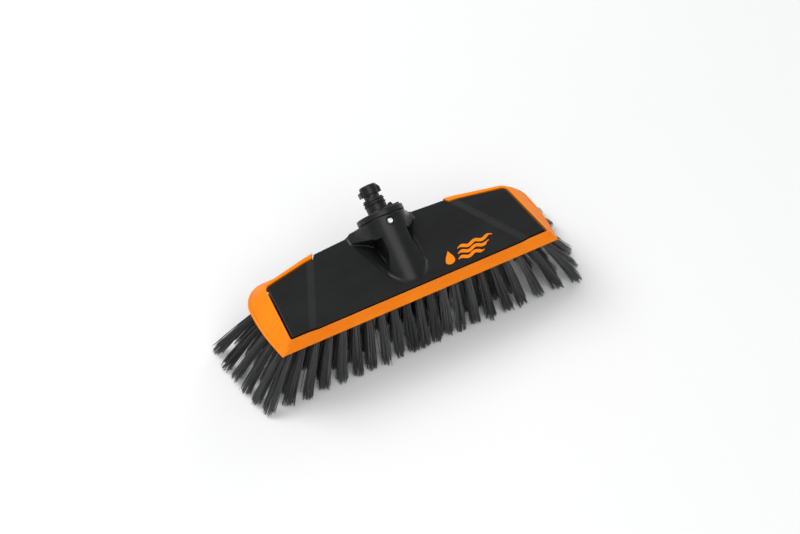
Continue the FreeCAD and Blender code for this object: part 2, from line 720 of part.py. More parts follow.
def make_nipple():
    """Bayonet plug: spigot in the socket, flange, sealed nipple with a pilot ring and lugs."""
    body = doc.addObject("PartDesign::Body", "nipple_body")
    seal = "Dims.seal_section"
    front_seal = "Dims.front_seal_at"
    rear_seal = "Dims.rear_seal_at"
    half = "(Dims.seal_section + Dims.seal_play)"
    corners = [
        ("Dims.bore_radius", "-Dims.spigot_length"),
        ("Dims.spigot_radius - 1", "-Dims.spigot_length"),
        ("Dims.spigot_radius", "-Dims.spigot_length + 1"),
        ("Dims.spigot_radius", f"{rear_seal} - {half}"),
        (f"Dims.socket_radius - 2 * {seal}", f"{rear_seal} - {half}"),
        (f"Dims.socket_radius - 2 * {seal}", f"{rear_seal} + {half}"),
        ("Dims.spigot_radius", f"{rear_seal} + {half}"),
        ("Dims.spigot_radius", "0"),
        ("Dims.flange_radius", "0"),
        ("Dims.flange_radius", "Dims.flange_rim - 0.6"),
        ("Dims.flange_radius - 0.6", "Dims.flange_rim"),
        ("Dims.nipple_radius + 1.2", "Dims.flange_top"),
        ("Dims.nipple_radius", "Dims.flange_top + 0.8"),
        ("Dims.nipple_radius", f"{front_seal} - {half}"),
        (f"Dims.nipple_radius - 2 * {seal}", f"{front_seal} - {half}"),
        (f"Dims.nipple_radius - 2 * {seal}", f"{front_seal} + {half}"),
        ("Dims.nipple_radius - 0.4", f"{front_seal} + {half}"),
        ("Dims.nipple_radius - 0.6", f"{front_seal} + 2.4"),
        ("Dims.neck_groove_radius", f"{front_seal} + 2.9"),
        ("Dims.neck_groove_radius", "Dims.pilot_start - 0.8"),
        ("Dims.pilot_radius - Dims.pilot_step", "Dims.pilot_start"),
        ("Dims.pilot_radius - Dims.pilot_step", "Dims.lug_start + Dims.lug_height"),
        ("Dims.pilot_radius", "Dims.lug_start + Dims.lug_height + Dims.pilot_step"),
        ("Dims.pilot_radius", "Dims.nipple_length - 0.8"),
        ("Dims.pilot_radius - 0.8", "Dims.nipple_length"),
        ("Dims.bore_radius", "Dims.nipple_length"),
    ]
    revolve_in(body, corners, "nipple_turned")
    lugs = sketch_in(body, "lug_outline", lift="Dims.lug_start")
    root = "Dims.neck_groove_radius - 1"
    for reach, side in (("Dims.right_lug_reach", ""), ("Dims.left_lug_reach", "-")):
        polygon(lugs, [
            (f"{side}({root})", "-Dims.lug_half_width"),
            (f"{side}({reach} - 0.8)", "-Dims.lug_half_width"),
            (f"{side}({reach})", "-Dims.lug_half_width + 1.2"),
            (f"{side}({reach})", "Dims.lug_half_width - 1.2"),
            (f"{side}({reach} - 0.8)", "Dims.lug_half_width"),
            (f"{side}({root})", "Dims.lug_half_width"),
        ])
    pad(body, lugs, "Dims.lug_height", "lug_pad")
    stop = sketch_in(body, "stop_outline", lift="Dims.flange_rim - Dims.stop_root")
    polygon(stop, [
        ("Dims.stop_inner", "-Dims.stop_inner_half"),
        ("Dims.stop_outer", "-Dims.stop_outer_half"),
        ("Dims.stop_outer", "Dims.stop_outer_half"),
        ("Dims.stop_inner", "Dims.stop_inner_half"),
    ])
    pad(body, stop, "Dims.stop_rise + Dims.stop_root", "stop_pad")
    nub = sketch_in(body, "nub_outline", lift="Dims.flange_rim")
    polygon(nub, [
        ("Dims.nub_inner", "-Dims.nub_half_width"),
        ("Dims.nub_outer", "-Dims.nub_half_width"),
        ("Dims.nub_outer", "Dims.nub_half_width"),
        ("Dims.nub_inner", "Dims.nub_half_width"),
    ])
    pad(body, nub, "Dims.nub_rise", "nub_pad")
    body.setExpression("Placement", axis_place("0"))
    doc.recompute()

    tilt = math.radians(size("neck_tilt"))
    up = Vector(0, -math.sin(tilt), math.cos(tilt))
    foot = neck_point(size("screw_at"), size("neck_radius") - size("screw_reach"))
    tapped = feature("nipple_screw_hole", Part.makeCylinder(size("screw_shank"), 14, foot, up))
    return node(boolean("Cut", "nipple_cut", body, tapped), "coupling_nipple")


def make_seal(label, centre_radius, distance):
    """An O-ring lying in its groove, on the coupling's axis."""
    ring = doc.addObject("Part::Torus", f"{label}_ring")
    ring.setExpression("Radius1", centre_radius)
    ring.setExpression("Radius2", "Dims.seal_section")
    ring.setExpression("Placement", axis_place(distance))
    return node(ring, label)


# ---------------------------------------------------------------- fasteners
def make_screw_body(name, shank, head, head_tall, reach):
    """A pan-head screw along +Z: its head's top is at Z = 0 and it has a crossed recess."""
    body = doc.addObject("PartDesign::Body", name)
    corners = [
        ("0", f"-({reach})"),
        (f"{shank} * 0.5", f"-({reach})"),
        (shank, f"-({reach}) + {shank}"),
        (shank, f"-({head_tall})"),
        (head, f"-({head_tall})"),
        (head, f"-({head_tall}) * 0.45"),
        (f"{head} * 0.72", "0"),
        ("0", "0"),
    ]
    revolve_in(body, corners, f"{name}_turned")
    cross = sketch_in(body, f"{name}_cross", lift="0")
    arm, blade = f"{head} * 0.6", f"{head} * 0.13"
    polygon(cross, [
        (arm, f"-({blade})"), (arm, blade), (blade, blade), (blade, arm),
        (f"-({blade})", arm), (f"-({blade})", blade),
        (f"-({arm})", blade), (f"-({arm})", f"-({blade})"),
        (f"-({blade})", f"-({blade})"), (f"-({blade})", f"-({arm})"),
        (blade, f"-({arm})"), (blade, f"-({blade})"),
    ])
    cut = body.newObject("PartDesign::Pocket", f"{name}_recess")
    cut.Profile = cross
    cut.setExpression("Length", f"{head_tall} * 0.6")
    doc.recompute()
    return body


def make_retaining_screw():
    """Holds the coupling in the neck's socket, from the top of the collar."""
    body = make_screw_body("retaining_screw", "Dims.screw_shank - 0.02", "Dims.screw_head",
                           "Dims.screw_head_tall", "Dims.screw_reach - 0.6")
    rise = "Dims.neck_radius - Dims.screw_recess_deep + Dims.screw_head_tall"
    lifted = f"placement(vector(0; -({rise}); 0); rotation(vector(1; 0; 0); 90))"
    body.setExpression("Placement", f"{axis_place('Dims.screw_at')} * {lifted}")
    return node(body, "retaining_screw")


def make_block_screws():
    """Self-tapping screws from below, through the block into the shell's bosses."""
    screws = []
    pattern = make_screw_body("block_screw_pattern", "Dims.block_screw_shank - 0.02",
                              "Dims.block_screw_head", "Dims.block_screw_head_tall",
                              "Dims.block_screw_reach + Dims.block_screw_head_tall")
    turn = FreeCAD.Rotation(Vector(1, 0, 0), 180)
    for x, y in SCREWS:
        screw = pattern.Shape.copy()
        screw.Placement = FreeCAD.Placement(Vector(x, y, BLOCK_UNDER), turn)
        screws.append(screw)
    return node(feature("block_screws", Part.makeCompound(screws)), "block_screws")


def fault(obj):
    """Why an object can't be written, or an empty string."""
    if "Invalid" in obj.State or "Error" in obj.State:
        return f"state {obj.State}"
    shape = getattr(obj, "Shape", None)
    if obj in NODES and (shape is None or shape.isNull() or not shape.isValid()):
        return "bad shape"
    return ""


make_upper_shell()
make_bumper()
make_block()
make_gasket()
make_nipple()
make_seal("nipple_o_ring", "Dims.nipple_radius - Dims.seal_section + 0.05", "Dims.front_seal_at")
make_seal("socket_o_ring", "Dims.socket_radius - Dims.seal_section - 0.02", "Dims.rear_seal_at")
make_retaining_screw()
make_block_screws()
make_tufts()
doc.recompute()

faults = {obj.Name: fault(obj) for obj in doc.Objects if fault(obj)}
if faults:
    raise SystemExit(f"objects with faults: {faults}")

os.makedirs("parts", exist_ok=True)
whole = FreeCAD.BoundBox()
for obj in NODES:
    obj.Shape.exportStep(os.path.join("parts", f"{obj.Label}.step"))
    whole.add(obj.Shape.BoundBox)
    print(f"{obj.Label}: {len(obj.Shape.Solids)} solids, {obj.Shape.Volume:.0f} mm3")
print(f"whole: {whole}")
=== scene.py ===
import math

import bpy
import numpy as np
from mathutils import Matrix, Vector


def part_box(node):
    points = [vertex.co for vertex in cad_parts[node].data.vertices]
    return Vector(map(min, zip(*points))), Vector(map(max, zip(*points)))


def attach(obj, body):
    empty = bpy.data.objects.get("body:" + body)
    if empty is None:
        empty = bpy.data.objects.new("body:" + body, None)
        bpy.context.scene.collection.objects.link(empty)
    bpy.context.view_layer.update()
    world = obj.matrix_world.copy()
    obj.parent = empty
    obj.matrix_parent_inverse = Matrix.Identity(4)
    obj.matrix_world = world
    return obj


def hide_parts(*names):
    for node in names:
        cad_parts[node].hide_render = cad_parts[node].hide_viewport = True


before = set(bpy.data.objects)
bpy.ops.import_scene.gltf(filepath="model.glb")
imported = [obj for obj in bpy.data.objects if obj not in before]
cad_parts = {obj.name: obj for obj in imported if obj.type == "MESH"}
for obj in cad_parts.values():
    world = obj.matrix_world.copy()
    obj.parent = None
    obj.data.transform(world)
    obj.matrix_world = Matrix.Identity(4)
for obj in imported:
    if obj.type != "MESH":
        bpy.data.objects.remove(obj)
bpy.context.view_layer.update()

MM = 0.001
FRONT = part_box("upper_shell")[0].y / MM      # the panel's straight front edge
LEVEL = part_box("bumper")[1].z / MM           # the panel's top face
BLOCK_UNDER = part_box("brush_block")[0].z / MM
scene = bpy.context.scene


# ---------------------------------------------------------------- shaders
class Shader:
    """A procedural material that is built node by node."""

    def __init__(self, name):
        self.material = bpy.data.materials.new(name)
        self.material.use_nodes = True
        self.tree = self.material.node_tree
        self.tree.nodes.clear()
        self.output = self.tree.nodes.new("ShaderNodeOutputMaterial")
        self.place = self.add("ShaderNodeTexCoord").outputs["Object"]

    def add(self, kind, settings=None, **sockets):
        made = self.tree.nodes.new(kind)
        for key, value in (settings or {}).items():
            setattr(made, key, value)
        for key, value in sockets.items():
            target = made.inputs[int(key[1:]) if key[0] == "_" else key.replace("_", " ")]
            if isinstance(value, bpy.types.NodeSocket):
                self.tree.links.new(value, target)
            else:
                target.default_value = value
        return made

    def noise(self, per_metre, detail=3.0, roughness=0.55, place=None):
        made = self.add("ShaderNodeTexNoise", Vector=place or self.place, Scale=per_metre,
                        Detail=detail, Roughness=roughness)
        return made.outputs["Fac"]

    def spread(self, value, low, high, out_low=0.0, out_high=1.0):
        """The value's range from low to high, mapped to another range and clamped."""
        made = self.add("ShaderNodeMapRange", _0=value, _1=low, _2=high, _3=out_low, _4=out_high)
        made.clamp = True
        return made.outputs["Result"]

    def blend(self, share, first, second, mode="MIX"):
        made = self.add("ShaderNodeMix", {"data_type": "RGBA", "blend_type": mode})
        for index, value in ((0, share), (6, first), (7, second)):
            if isinstance(value, bpy.types.NodeSocket):
                self.tree.links.new(value, made.inputs[index])
            else:
                made.inputs[index].default_value = value
        return made.outputs[2]

    def sums(self, operation, first, second):
        """One arithmetic node: ADD or MULTIPLY of two values."""
        return self.add("ShaderNodeMath", {"operation": operation}, _0=first, _1=second).outputs[0]

    def stretched(self, x, y, z):
        """Object coordinates with their own scale on each axis, for streaks."""
        made = self.add("ShaderNodeMapping", Vector=self.place, Scale=(x, y, z))
        return made.outputs["Vector"]

    def attribute(self, name):
        return self.add("ShaderNodeAttribute", {"attribute_name": name}).outputs["Fac"]

    def bump(self, height, strength, distance, before=None):
        made = self.add("ShaderNodeBump", Height=height, Strength=strength, Distance=distance)
        if before is not None:
            self.tree.links.new(before, made.inputs["Normal"])
        return made.outputs["Normal"]

    def finish(self, colour, roughness, normal, **uniform):
        made = self.add("ShaderNodeBsdfPrincipled", Base_Color=colour, Roughness=roughness,
                        Normal=normal)
        for key, value in uniform.items():
            made.inputs[key.replace("_", " ")].default_value = value
        self.tree.links.new(made.outputs["BSDF"], self.output.inputs["Surface"])
        return self.material


def grey(value):
    """A neutral colour."""
    return (value, value, value, 1.0)


def moulded_plastic(name, deep, light, rough_low, rough_high, grain=0.06):
    """Injection-moulded plastic: spark-eroded grain, faint flow marks, handling wear on edges."""
    s = Shader(name)
    cloud = s.noise(22.0, 4.0)
    flow = s.noise(1.0, 3.0, place=s.stretched(14.0, 90.0, 90.0))
    grain_fine = s.noise(2600.0, 2.0, 0.6)
    grain_wide = s.noise(700.0, 2.0)
    tone = s.spread(s.sums("ADD", cloud, flow), 0.75, 1.25)
    colour = s.blend(tone, deep, light)
    scuff = s.spread(s.noise(160.0, 5.0, 0.7), 0.56, 0.74)
    wear = s.sums("MULTIPLY", scuff, s.attribute("wear"))
    worn = tuple(min(1.0, v * 2.6 + 0.01) for v in light[:3]) + (1.0,)
    colour = s.blend(wear, colour, worn)
    dust = s.spread(s.noise(900.0, 3.0, 0.7), 0.70, 0.80, 0.0, 0.25)
    colour = s.blend(dust, colour, worn)
    rough = s.spread(cloud, 0.3, 0.7, rough_low, rough_high)
    rough = s.sums("ADD", rough, s.spread(grain_wide, 0.3, 0.7, -0.03, 0.03))
    normal = s.bump(grain_fine, grain, 0.00012)
    normal = s.bump(grain_wide, grain * 0.7, 0.0002, normal)
    return s.finish(colour, rough, normal, Specular_IOR_Level=0.28)


def bumper_rubber(name, deep, light):
    """Soft orange edging: matt, slightly mottled, darker where it is scuffed."""
    s = Shader(name)
    cloud = s.noise(30.0, 4.0)
    fine = s.noise(2200.0, 2.0)
    pebble = s.add("ShaderNodeTexVoronoi", Vector=s.place, Scale=1500.0).outputs["Distance"]
    colour = s.blend(s.spread(cloud, 0.35, 0.65), deep, light)
    scuffed, dirt = (0.50, 0.17, 0.03, 1.0), (0.62, 0.20, 0.02, 1.0)
    scuff = s.sums("MULTIPLY", s.spread(s.noise(120.0, 6.0, 0.72), 0.58, 0.75), s.attribute("wear"))
    colour = s.blend(s.sums("MULTIPLY", scuff, 0.45), colour, scuffed)
    specks = s.spread(s.noise(1300.0, 2.0, 0.7), 0.73, 0.80, 0.0, 0.35)
    colour = s.blend(specks, colour, dirt)
    rough = s.spread(cloud, 0.3, 0.7, 0.42, 0.54)
    normal = s.bump(pebble, 0.05, 0.0001)
    normal = s.bump(fine, 0.05, 0.0001, normal)
    return s.finish(colour, rough, normal, Specular_IOR_Level=0.12)


def bristle_nylon(name):
    """Extruded filament: each one has its own tone and faint lengthwise streaks, which are partly painted
    highlights; towards the tips it is painted lighter, painted light that leaves the roots darker as if
    in shade.
    """
    s = Shader(name)
    tone = s.attribute("tone")
    # painted highlight: the lengthwise streak noise lightens the filaments' colour, a random tone that
    # also stands in for their highlights; the same noise sets roughness and bump
    streak_and_highlight = s.noise(1.0, 3.0, place=s.stretched(1900.0, 1900.0, 60.0))
    mixed = s.sums("ADD", s.sums("MULTIPLY", tone, 0.75), s.sums("MULTIPLY", streak_and_highlight, 0.35))
    dark, pale, painted_tip_light = (0.010, 0.0106, 0.0104, 1), (0.105, 0.109, 0.108, 1), (0.14, 0.145, 0.145, 1)
    colour = s.blend(s.spread(mixed, 0.15, 0.95), dark, pale)
    # painted light: the last tenth of each filament, towards the floor, is lightened, so the roots read
    # darker as if in the head's shade
    tip = s.spread(s.attribute("along"), 0.90, 1.0, 0.0, 0.30)
    colour = s.blend(tip, colour, painted_tip_light)
    rough = s.spread(streak_and_highlight, 0.3, 0.7, 0.34, 0.50)
    normal = s.bump(streak_and_highlight, 0.12, 0.0001)
    return s.finish(colour, rough, normal, Specular_IOR_Level=0.5)


def steel(name, tint, rough_low, rough_high):
    """Bright plated steel with fine lengthwise scratches and a few dull stains."""
    s = Shader(name)
    cloud = s.noise(300.0, 4.0)
    scratch = s.noise(1.0, 4.0, 0.7, place=s.stretched(3000.0, 400.0, 400.0))
    colour = s.blend(s.spread(cloud, 0.45, 0.75), tint, tuple(v * 0.72 for v in tint[:3]) + (1,))
    rough = s.spread(scratch, 0.3, 0.7, rough_low, rough_high)
    normal = s.bump(scratch, 0.10, 0.00005)
    return s.finish(colour, rough, normal, Metallic=1.0)


def seal_rubber(name):
    """Black nitrile rubber with a fine grain and cloudy patches of gloss."""
    s = Shader(name)
    cloud = s.noise(200.0, 4.0)
    colour = s.blend(s.spread(cloud, 0.35, 0.7), grey(0.010), grey(0.022))
    rough = s.spread(cloud, 0.3, 0.7, 0.38, 0.62)
    normal = s.bump(s.noise(3000.0, 2.0), 0.08, 0.0001)
    return s.finish(colour, rough, normal, Specular_IOR_Level=0.45)


SHELL = moulded_plastic("shell_plastic_mat", grey(0.0072), (0.0098, 0.0105, 0.0103, 1), 0.29, 0.37)
NOZZLE = moulded_plastic("coupling_plastic_mat", grey(0.0080), grey(0.0130), 0.30, 0.42, 0.05)
BLOCK = moulded_plastic("block_plastic_mat", grey(0.012), grey(0.020), 0.45, 0.58, 0.10)
RUBBER = bumper_rubber("bumper_rubber_mat", (0.92, 0.212, 0.002, 1), (0.97, 0.246, 0.005, 1))
BRISTLE = bristle_nylon("bristle_mat")
STEEL = steel("screw_steel_mat", (0.92, 0.93, 0.94, 1), 0.30, 0.46)
WIRE = steel("anchor_wire_mat", (0.62, 0.60, 0.55, 1), 0.30, 0.48)
SEAL = seal_rubber("seal_rubber_mat")


# ---------------------------------------------------------------- mesh and field helpers
def make_piece(name, points, faces, material, nodes=(), smooth=True, attributes=None):
    """A mesh in millimetres becomes a piece that rides on the body and may stand for CAD nodes."""
    mesh = bpy.data.meshes.new(name)
    mesh.from_pydata(np.asarray(points, float) * MM, [], faces)
    mesh.validate()
    for key, values in (attributes or {}).items():
        made = mesh.attributes.new(key, "FLOAT", "POINT")
        made.data.foreach_set("value", np.asarray(values, np.float32))
    mesh.polygons.foreach_set("use_smooth", np.full(len(mesh.polygons), smooth))
    mesh.materials.append(material)
    obj = bpy.data.objects.new(name, mesh)
    scene.collection.objects.link(obj)
    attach(obj, "root")
    if nodes:
        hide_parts(*nodes)
    return obj


def smooth_min(a, b, reach):
    h = np.maximum(reach - np.abs(a - b), 0.0) / reach
    return np.minimum(a, b) - h * h * reach / 4


def smooth_max(a, b, reach):
    return -smooth_min(-a, -b, reach)


def round_max(a, b, radius):
    """The meeting of two faces, with the edge between them rounded."""
    outer = np.hypot(np.maximum(a + radius, 0), np.maximum(b + radius, 0))
    return np.minimum(np.maximum(a, b) + radius, 0) + outer - radius


def step(value, low, high):
    s = np.clip((value - low) / (high - low), 0, 1)
    return s * s * (3 - 2 * s)


def corner_arc(before, here, after, radius):
    """(centre, first point, spoke to that point, sweep) of the arc that rounds a corner."""
    a = (before - here) / np.linalg.norm(before - here)
    b = (after - here) / np.linalg.norm(after - here)
    half = math.acos(np.clip(a @ b, -1, 1)) / 2
    centre = here + (a + b) / np.linalg.norm(a + b) * radius / math.sin(half)
    start, end = here + a * radius / math.tan(half), here + b * radius / math.tan(half)
    u, v = start - centre, end - centre
    return centre, start, u, math.atan2(u[0] * v[1] - u[1] * v[0], u @ v)


def on_arc(centre, spoke, angle):
    """The point that a spoke reaches after it has turned by an angle."""
    c, s = math.cos(angle), math.sin(angle)
    return centre + np.array([c * spoke[0] - s * spoke[1], s * spoke[0] + c * spoke[1]])


def rounded(corners, fineness=6):
    """Outline points from (x, y, radius) corners."""
    points = []
    places = [np.array(corner[:2], float) for corner in corners]
    for index, (_, _, radius) in enumerate(corners):
        here, after = places[index], places[(index + 1) % len(places)]
        if radius <= 0:
            points.append(here)
            continue
        centre, _, spoke, sweep = corner_arc(places[index - 1], here, after, radius)
        points += [on_arc(centre, spoke, sweep * share) for share in np.linspace(0, 1, fineness + 1)]
    return np.array(points)


def both_sides(half):
    """Corners of a whole outline from those of its right half, which runs front to back."""
    return half + [(-corner[0],) + tuple(corner[1:]) for corner in reversed(half) if corner[0]]


def outline_distance(points, x, y):
    """Signed distance in a plane to a closed outline, negative inside."""
    shape = np.broadcast(x, y).shape
    best = np.full(shape, 1e9)
    inside = np.zeros(shape, bool)
    for (ax, ay), (bx, by) in zip(points, np.roll(points, -1, 0)):
        ex, ey, wx, wy = bx - ax, by - ay, x - ax, y - ay
        share = np.clip((wx * ex + wy * ey) / (ex * ex + ey * ey), 0, 1)
        best = np.minimum(best, (wx - ex * share) ** 2 + (wy - ey * share) ** 2)
        if abs(ey) > 1e-9:
            inside ^= ((ay > y) != (by > y)) & (wx < ex * wy / ey)
    return np.where(inside, -1, 1) * np.sqrt(best)


def spaced(*runs):
    """Grid lines from (start, end, step) runs that follow each other."""
    lines = []
    for start, end, pitch in runs:
        lines.append(np.linspace(start, end, max(1, round((end - start) / pitch)), endpoint=False))
    return np.append(np.concatenate(lines), runs[-1][1])


def net(field, xs, ys, zs, rounds=3):
    """Points and quads of the surface where the field is zero: one point in each crossed cell."""
    grid = field(xs[:, None, None], ys[None, :, None], zs[None, None, :])
    grid = np.broadcast_to(grid, (len(xs), len(ys), len(zs))).astype(np.float32)
    inside = grid < 0
    corners = sum(inside[a:len(xs) - 1 + a, b:len(ys) - 1 + b, c:len(zs) - 1 + c].astype(np.uint8)
                  for a in (0, 1) for b in (0, 1) for c in (0, 1))
    crossed = (corners > 0) & (corners < 8)
    index = np.full(crossed.shape, -1, np.int32)
    cells = np.argwhere(crossed)
    index[crossed] = np.arange(len(cells))
    lines = (xs, ys, zs)
    total = np.zeros((len(cells), 3))
    hits = np.zeros(len(cells))
    for axis in range(3):
        others = [k for k in range(3) if k != axis]
        for first in (0, 1):
            for second in (0, 1):
                low = cells.copy()
                low[:, others[0]] += first
                low[:, others[1]] += second
                high = low.copy()
                high[:, axis] += 1
                a, b = grid[tuple(low.T)], grid[tuple(high.T)]
                cut = (a < 0) != (b < 0)
                share = np.where(cut, a / np.where(cut, a - b, 1), 0)
                spot = np.stack([lines[k][low[:, k]] for k in range(3)], 1)
                spot[:, axis] += share * (lines[axis][high[:, axis]] - lines[axis][low[:, axis]])
                total += spot * cut[:, None]
                hits += cut
    points = total / hits[:, None]
    quads = []
    for axis in range(3):
        u, v = (axis + 1) % 3, (axis + 2) % 3
        moved = np.moveaxis(inside, (axis, u, v), (0, 1, 2))
        table = np.moveaxis(index, (axis, u, v), (0, 1, 2))
        change = moved[:-1, 1:-1, 1:-1] != moved[1:, 1:-1, 1:-1]
        i, j, k = np.nonzero(change)
        quad = np.stack([table[i, j, k], table[i, j + 1, k], table[i, j + 1, k + 1],
                         table[i, j, k + 1]], 1)
        back = ~moved[:-1, 1:-1, 1:-1][change]
        quad[back] = quad[back][:, ::-1]
        quads.append(quad)
    reach = 0.5 * min(np.diff(line).min() for line in lines)
    for _ in range(rounds):
        value, slope = gradient(field, points)
        move = -value[:, None] * slope / np.maximum((slope ** 2).sum(1), 0.1)[:, None]
        length = np.linalg.norm(move, axis=1, keepdims=True)
        points = points + move * np.minimum(1, reach / np.maximum(length, 1e-9))
    return points, np.concatenate(quads)


def gradient(field, points, width=0.04):
    x, y, z = points.T
    value = field(x, y, z)
    slope = np.stack([field(x + width, y, z) - field(x - width, y, z),
                      field(x, y + width, z) - field(x, y - width, z),
                      field(x, y, z + width) - field(x, y, z - width)], 1) / (2 * width)
    return value, slope


def edge_wear(field, points, reach=0.9):
    """How far each point stands on a convex edge, from 0 to 1."""
    _, slope = gradient(field, points)
    normal = slope / np.maximum(np.linalg.norm(slope, axis=1), 1e-6)[:, None]
    depth = -field(*(points - normal * reach).T)
    return np.clip((reach * 0.94 - depth) / (reach * 0.4), 0, 1)


# ---------------------------------------------------------------- the neck's own axes
# panel coordinates: x across, y back from the panel's front edge, z up from its top face
# neck coordinates: x across, h square to the neck's axis, t along it from the coupling's seam
SEAM_Y, SEAM_Z, TILT = 68.7, 15.7, math.radians(31.5)
COS, SIN = math.cos(TILT), math.sin(TILT)
NECK_RADIUS = 21.4
SCREW_AT = -6.4


def neck_axes(y, z):
    """(distance along the neck from its seam, height square to it) of panel coordinates."""
    return (y - SEAM_Y) * COS + (z - SEAM_Z) * SIN, (z - SEAM_Z) * COS - (y - SEAM_Y) * SIN


def from_neck(x, h, t):
    """Object coordinates of points given across, above and along the neck."""
    y = FRONT + SEAM_Y + t * COS - h * SIN
    z = LEVEL + SEAM_Z + t * SIN + h * COS
    return np.stack(np.broadcast_arrays(x, y, z), -1)


# ---------------------------------------------------------------- upper shell
PANEL = rounded(both_sides([
    (124.9, -0.9, 0.8), (118.4, 58.1, 5.0), (68.0, 68.8, 1.0), (65.0, 73.3, 2.0),
    (42.0, 74.9, 0), (33.0, 75.5, 0), (25.0, 76.9, 0), (16.0, 78.6, 0), (8.0, 79.4, 0), (0.0, 79.6, 0)]))
SKIRT = rounded(both_sides([(121.1, 3.0, 0.5), (114.6, 54.5, 3.0), (64.0, 66.4, 1.0)]))
WING_RISE, WING_RUN = 1.75, 8.4    # the raised ends of the panel and the length of their ramps
RAMP_AT, RAMP_LEAN = 100.3, 0.4884
PLATE_THICK, SKIRT_DEPTH, WALL_DEPTH, CHANNEL_DEPTH = 3.0, 5.95, 13.9, 5.9
TUBE_FOOT = 4.0                    # how far the neck reaches below the panel's top face
RIDGE_HALF, RIDGE_FLARE = 12.0, 6.2
POCKET_DEEP = 4.8
SOCKET_RADIUS, SOCKET_DEEP = 14.0, 12.9
SEAT_RADIUS, SEAT_DEEP = 3.65, 2.2
RIB_START, RIB_RUN = (13.4, 57.3), (16.6, 9.2)
# the pocket's outer edge at places back from the front
POCKET_Y = (22.0, 27.0, 31.0, 35.0, 41.0, 48.0, 57.0, 66.0, 80.0)
POCKET_X = (18.7, 20.2, 21.2, 21.9, 22.9, 24.8, 27.3, 29.0, 30.5)


def wing_height(x, y):
    """How far the panel's top stands above its middle: the raised ends and their ramps."""
    out = (np.abs(x) - (RAMP_AT - RAMP_LEAN * y)) / WING_RUN
    return WING_RISE * smooth_max(smooth_min(out, 1.0, 0.16), 0.0, 0.16)


def shell_plates(plan, x, y, z):
    """The panel, the skirt under it, the rear wall and the water channel's tub."""
    wide = np.abs(x)
    plate = round_max(plan, z - wing_height(x, y), 0.85)
    plate = np.maximum(plate, -PLATE_THICK - z)
    skirt = outline_distance(SKIRT, x, y)
    ring = np.maximum(np.maximum(np.abs(skirt + 1.3) - 1.3, z + 2.5), -SKIRT_DEPTH - z)
    wall = round_max(np.maximum(plan + 0.15, wide - 64.0), -WALL_DEPTH - z, 0.7)
    wall = np.maximum(np.maximum(wall, 70.6 - y), z + 2.0)
    tub = np.maximum(np.maximum(wide - 32.0, 19.0 - y), np.maximum(plan + 4.2, z + 2.5))
    tub = np.maximum(tub, -CHANNEL_DEPTH - z)
    return np.minimum(np.minimum(plate, ring), np.minimum(wall, tub))


def shell_field(x, y, z):
    """Distance to the shell: its plates, the neck's tube and hood, and the pockets beside the ridge."""
    wide = np.abs(x)
    plan = outline_distance(PANEL, x, y)
    body = shell_plates(plan, x, y, z)

    t, h = neck_axes(y, z)
    radius = np.hypot(x, h)
    tube = np.maximum(radius - NECK_RADIUS - 0.012 * t, -TUBE_FOOT - z)
    low_edge = -17.0 + 0.5 * np.maximum(wide - 16.0, 0)
    hood = smooth_max(0.816 * wide + 0.577 * z - 25.4, low_edge - t, 1.0)
    hood = np.maximum(np.maximum(hood, h - 12.0), np.maximum(plan + 0.3, -TUBE_FOOT - z))
    body = smooth_min(body, hood, 2.0)
    whole = smooth_min(body, tube, 2.0 + 5.0 * step(y, 56.0, 72.0))
    whole = smooth_max(whole, -0.9 - y, 0.8)
    whole = round_max(whole, t + 0.12, 0.4)

    ridge = RIDGE_HALF + RIDGE_FLARE * (1 - step(y, 18.0, 36.0))
    outer = np.interp(y, POCKET_Y, POCKET_X)
    across = np.clip((wide - ridge) / np.maximum(outer - ridge, 0.5), 0, 1)
    deep = POCKET_DEEP * np.where(x > 0, step(y, 44.0, 60.0), step(y, 22.0, 40.0))
    floor = 0.45 * np.maximum(wide - outer, 0) - deep * (1 - across) ** 1.6
    pocket = smooth_max(ridge - wide, floor - z, 1.6)
    pocket = smooth_max(pocket, t - low_edge, 1.4)
    pocket = np.maximum(pocket, np.maximum(wide - outer - 3.0, 20.0 - y))
    whole = smooth_max(whole, -pocket, 1.0)

    # a thin rib across each pocket's floor, from the ridge outwards and back
    (rib_x, rib_y), (rib_out, rib_back) = RIB_START, RIB_RUN
    run = ((wide - rib_x) * rib_out + (y - rib_y) * rib_back) / (rib_out ** 2 + rib_back ** 2)
    run = np.clip(run, 0, 1)
    rib = np.hypot(wide - rib_x - rib_out * run, y - rib_y - rib_back * run) - 0.38
    rib = np.maximum(np.maximum(rib, z - floor - 0.75), -CHANNEL_DEPTH - z)
    whole = smooth_min(whole, rib, 0.3)

    socket = np.maximum(radius - SOCKET_RADIUS, -SOCKET_DEEP - t)
    seat = np.maximum(np.hypot(x, t - SCREW_AT) - SEAT_RADIUS, NECK_RADIUS - SEAT_DEEP - h)
    return smooth_max(smooth_max(whole, -socket, 0.3), -seat, 0.35)


def build_shell():
    """The black moulding, with a finer grid where its edges and pockets are."""
    half = spaced((0.0, 34.0, 0.5), (34.0, 66.0, 1.0), (66.0, 109.0, 0.8), (109.0, 115.0, 1.0),
                  (115.0, 126.0, 0.5))
    xs = np.concatenate([-half[:0:-1], half])
    ys = spaced((-2.2, 1.4, 0.4), (1.4, 82.6, 0.55))
    zs = spaced((-15.0, -3.6, 0.8), (-3.6, 2.8, 0.4), (2.8, 36.0, 0.55))
    points, quads = net(shell_field, xs, ys, zs)
    wear = edge_wear(shell_field, points)
    points = points + np.array([0.0, FRONT, LEVEL])
    return make_piece("shell_moulding", points, quads, SHELL, ["upper_shell"],
                      attributes={"wear": wear})


# ---------------------------------------------------------------- bumper
FRONT_COUNT = 60            # points along half of the bumper's straight front
SIDE_BOW = 2.6              # how far the ends bulge between their corners
DROP_SIDE, DROP_FRONT_LESS = 15.0, 2.3


